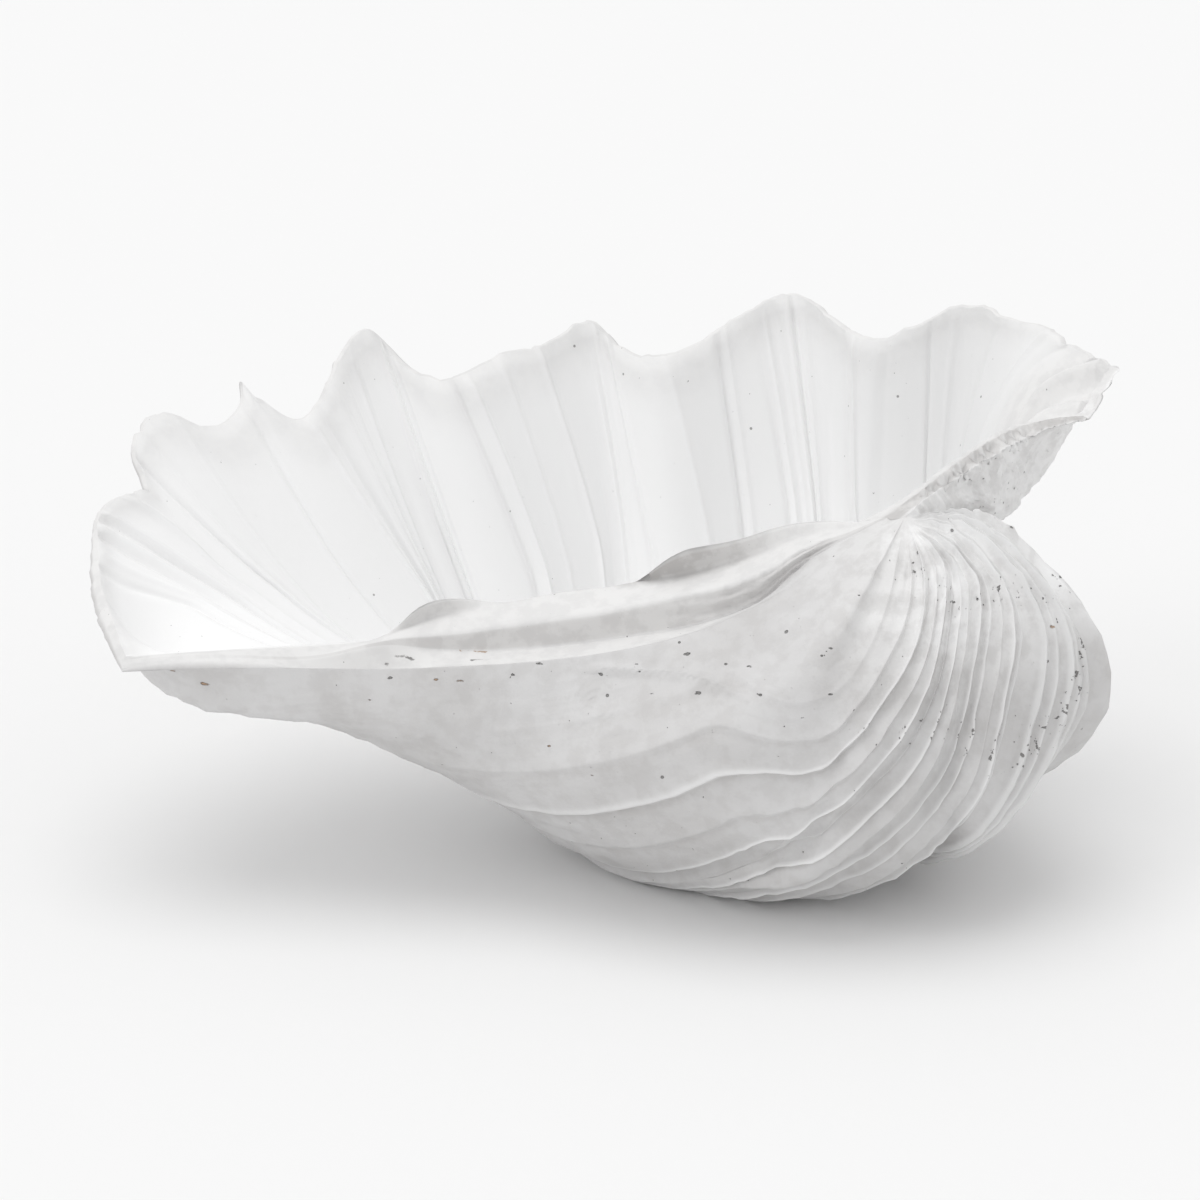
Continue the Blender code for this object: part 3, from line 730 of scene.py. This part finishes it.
def bubbleMask(tree, place):
    # small bubbles left by the casting, each a round pit
    shown = 0.0
    for scale, radius, share in plaster["bubbles"]:
        cells = tree.node("ShaderNodeTexVoronoi", {"Scale": scale, "Vector": place})
        chance = tree.add("ShaderNodeSeparateColor", {"Color": cells.outputs["Color"]})
        chosen = tree.band(chance, share, share + 0.002)
        inBubble = tree.band(cells.outputs["Distance"], radius, radius * 0.6)
        shown = tree.plus(shown, tree.times(inBubble, chosen))
    return shown


def rippleHeight(tree, place):
    # round ripples on the body, uneven and fading outwards
    away = tree.awayFrom(place, outsideSpot(*ripple), (1, 1, 1))
    away = tree.plus(away, tree.times(tree.lumps(place, 60.0), 0.012))
    rings = tree.times(tree.math("SINE", tree.times(away, plaster["ripplePace"])),
                       tree.band(away, *plaster["rippleReach"]))
    return tree.times(rings, plaster["rippleHeight"])


def plasterMaterial():
    material = bpy.data.materials.new("castWhite")
    material.use_nodes = True
    tree = Tree(material.node_tree)
    shader = material.node_tree.nodes["Principled BSDF"]
    place = tree.node("ShaderNodeTexCoord").outputs["Object"]
    # the white of the hollow, lip and plates, with the painted highlight on the riblet crests
    hollow = tree.mark("hollow")
    colour = plasterColour(tree, place, hollow)

    ragged = tree.math("SUBTRACT", tree.lumps(place, 260.0, 2.0, 0.5), 0.5)
    ragged = tree.times(ragged, 0.005)    # metres by which the edges of flaws wander
    brown = flawMask(tree, place, ragged, brownFlaws, brownStreaks)
    dark = flawMask(tree, place, ragged, darkFlaws, darkStreaks)
    crumbled = tree.times(tree.mark("pitted"), 0.19)
    holes = tree.band(tree.plus(tree.lumps(place, 380.0, 2.0), crumbled), 0.755, 0.80)
    bubbles = bubbleMask(tree, place)
    depth = 0.0
    marks = ((brown, 0.8, "chip"), (dark, 0.8, "pit"), (holes, 0.8, "pit"), (bubbles, 0.7, "pit"))
    for shown, share, tint in marks:
        colour = tree.blend(tree.times(shown, share), colour, plaster[tint])
        depth = tree.plus(shown, depth)

    height = tree.math("SUBTRACT", tree.times(tree.lumps(place, 240.0, 3.0), plaster["grainHeight"]),
                       tree.times(depth, plaster["pitDepth"]))
    height = tree.plus(height, rippleHeight(tree, place))
    strength = tree.math("SUBTRACT", 1.0, tree.times(hollow, 0.75))    # the hollow is smoother
    dents = tree.add("ShaderNodeBump", {"Distance": 0.001, "Strength": strength, "Height": height})
    tree.feed(dents, shader.inputs["Normal"])
    tree.feed(colour, shader.inputs["Base Color"])
    tree.feed(plaster["roughness"], shader.inputs["Roughness"])
    return material


shellPiece = buildShell()
shellPiece.data.materials.append(plasterMaterial())
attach(shellPiece, "root")
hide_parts("clam_shell")
print("plaster ready")

studio = {
    "floorSize": 14.0,
    "floorColour": (0.87, 0.87, 0.87, 1),
    "skyStrength": 0.79,
    "sunStrength": 0.8,
    "sunAngle": 45,                    # degrees across, for a soft shadow
    "sunTurn": (0, -6, 0),             # degrees; from above, a little to the left
    "sideStrength": 0.33,
    "sideAngle": 30,
    "sideTurn": (24, -58, 0),          # low from the left, for the folds of the hollow
    "target": (-0.004, -0.0055, 0.130),
    "distance": 2.2,
    "elevation": 20,
    "fieldWidth": 0.6444,              # metres across the picture at the target
    "filmWidth": 36,
}


def buildFloor():
    bm = bmesh.new()
    bmesh.ops.create_grid(bm, x_segments=1, y_segments=1, size=studio["floorSize"] / 2)
    mesh = bpy.data.meshes.new("floor")
    bm.to_mesh(mesh)
    bm.free()
    paper = bpy.data.materials.new("paper")
    paper.use_nodes = True
    paperShader = paper.node_tree.nodes["Principled BSDF"]
    paperShader.inputs["Base Color"].default_value = studio["floorColour"]
    paperShader.inputs["Roughness"].default_value = 0.9
    paperShader.inputs["Specular IOR Level"].default_value = 0.1
    mesh.materials.append(paper)
    floor = addToScene("floor", mesh)


def buildLights():
    world = bpy.data.worlds.new("sky")
    bpy.context.scene.world = world
    world.use_nodes = True
    background = world.node_tree.nodes["Background"]
    background.inputs["Color"].default_value = (1, 1, 1, 1)
    background.inputs["Strength"].default_value = studio["skyStrength"]
    for name in ("sun", "side"):
        sun = bpy.data.lights.new(name, "SUN")
        sun.energy = studio[name + "Strength"]
        sun.angle = math.radians(studio[name + "Angle"])
        lamp = addToScene(name, sun)
        lamp.rotation_euler = [math.radians(turn) for turn in studio[name + "Turn"]]


def buildCamera():
    camera = bpy.data.cameras.new("camera")
    camera.sensor_width = studio["filmWidth"]
    camera.lens = studio["filmWidth"] * studio["distance"] / studio["fieldWidth"]
    tilt = math.radians(studio["elevation"])
    back = Vector((0, -math.cos(tilt), math.sin(tilt))) * studio["distance"]
    holder = addToScene("camera", camera)
    holder.location = Vector(studio["target"]) + back
    holder.rotation_euler = (math.pi / 2 - tilt, 0, 0)
    bpy.context.scene.camera = holder
    bpy.context.scene.view_settings.view_transform = "Standard"


buildFloor()
buildLights()
buildCamera()
print("studio ready")
